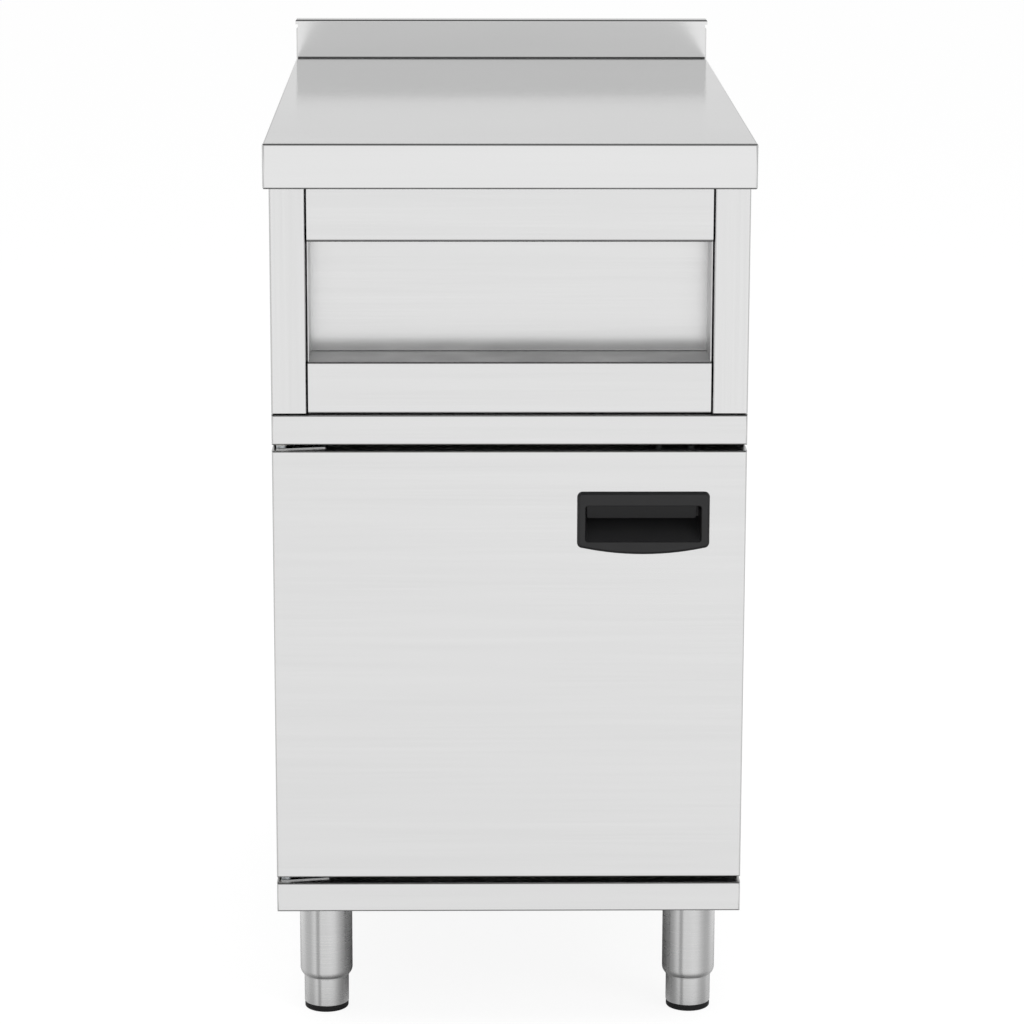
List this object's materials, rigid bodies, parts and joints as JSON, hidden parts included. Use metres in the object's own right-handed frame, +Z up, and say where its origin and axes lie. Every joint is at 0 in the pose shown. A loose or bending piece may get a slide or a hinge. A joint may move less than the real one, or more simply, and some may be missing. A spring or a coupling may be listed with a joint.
{
  "type": "neutral work module",
  "caption": "Free-standing stainless catering cabinet: folded worktop with rear upstand, recessed front panel, hinged door with black pull, and levelling legs.",
  "frame": {"origin": "on the floor, under the middle of the unit's width and depth, with the feet in the middle of their travel as in the picture", "axes": "+X to the right for someone who faces the front, +Y to the back, +Z up"},
  "size_m": [0.45, 0.75, 0.9],
  "materials": {
    "brushed_sheet": "fine brushed stainless sheet",
    "brushed_tube": "turned and brushed stainless tube",
    "zinc_steel": "zinc-plated steel",
    "black_moulding": "satin black moulded plastic",
    "white_nylon": "natural nylon",
    "black_rubber": "matt black rubber",
    "ferrite": "ferrite magnet between steel pole plates"
  },
  "bodies": {
    "cabinet": {"worktop": "brushed_sheet", "upstand_end_plates": "brushed_sheet", "worktop_stiffeners": "zinc_steel", "top_side_left": "brushed_sheet", "top_side_right": "brushed_sheet", "front_panel": "brushed_sheet", "recess_end_plates": "brushed_sheet", "top_back_panel": "brushed_sheet", "top_back_rivets": "zinc_steel", "base_top_rail": "brushed_sheet", "base_rear_rail": "brushed_sheet", "base_floor_pan": "brushed_sheet", "base_side_left": "brushed_sheet", "base_side_right": "brushed_sheet", "base_back_panel": "brushed_sheet", "base_back_rivets": "zinc_steel", "joining_bolts": "zinc_steel", "joining_nuts": "zinc_steel", "joining_washers": "zinc_steel", "leg_bearers": "zinc_steel", "leg_plates": "zinc_steel", "leg_plate_bolts": "zinc_steel", "leg_plate_nuts": "zinc_steel", "leg_discs": "zinc_steel", "hinge_plate_bottom": "brushed_sheet", "hinge_pin_bottom": "zinc_steel", "hinge_screws_bottom": "zinc_steel", "hinge_bush_top": "white_nylon", "catch_bracket": "zinc_steel", "catch_case": "white_nylon", "catch_magnet": "ferrite", "catch_screws": "zinc_steel", "leg_sleeve_front_left": "brushed_tube", "leg_sleeve_front_right": "brushed_tube", "leg_sleeve_rear_left": "brushed_tube", "leg_sleeve_rear_right": "brushed_tube"},
    "door": {"door_outer_skin": "brushed_sheet", "door_inner_skin": "brushed_sheet", "door_rib": "zinc_steel", "door_reinforcements": "zinc_steel", "handle_housing": "black_moulding", "handle_clamp": "zinc_steel", "handle_screws": "zinc_steel", "hinge_plate_top": "brushed_sheet", "hinge_pin_top": "zinc_steel", "hinge_screws_top": "zinc_steel", "hinge_bush_bottom": "white_nylon", "keeper_plate": "zinc_steel"},
    "foot_front_left": {"foot_tube_front_left": "brushed_tube", "foot_stem_front_left": "zinc_steel", "foot_pad_front_left": "black_rubber"},
    "foot_front_right": {"foot_tube_front_right": "brushed_tube", "foot_stem_front_right": "zinc_steel", "foot_pad_front_right": "black_rubber"},
    "foot_rear_left": {"foot_tube_rear_left": "brushed_tube", "foot_stem_rear_left": "zinc_steel", "foot_pad_rear_left": "black_rubber"},
    "foot_rear_right": {"foot_tube_rear_right": "brushed_tube", "foot_stem_rear_right": "zinc_steel", "foot_pad_rear_right": "black_rubber"}
  },
  "joints": [
    {"name": "door_hinge", "type": "hinge", "parent": "cabinet", "child": "door", "pos_m": [-0.21075, -0.3545, 0.3655], "axis": [0, 0, -1], "range_deg": [0, 110]},
    {"name": "leveller_front_left", "type": "slide", "parent": "cabinet", "child": "foot_front_left", "axis": [0, 0, 1], "range_m": [-0.02, 0.018]},
    {"name": "leveller_front_right", "type": "slide", "parent": "cabinet", "child": "foot_front_right", "axis": [0, 0, 1], "range_m": [-0.02, 0.018]},
    {"name": "leveller_rear_left", "type": "slide", "parent": "cabinet", "child": "foot_rear_left", "axis": [0, 0, 1], "range_m": [-0.02, 0.018]},
    {"name": "leveller_rear_right", "type": "slide", "parent": "cabinet", "child": "foot_rear_right", "axis": [0, 0, 1], "range_m": [-0.02, 0.018]}
  ]
}
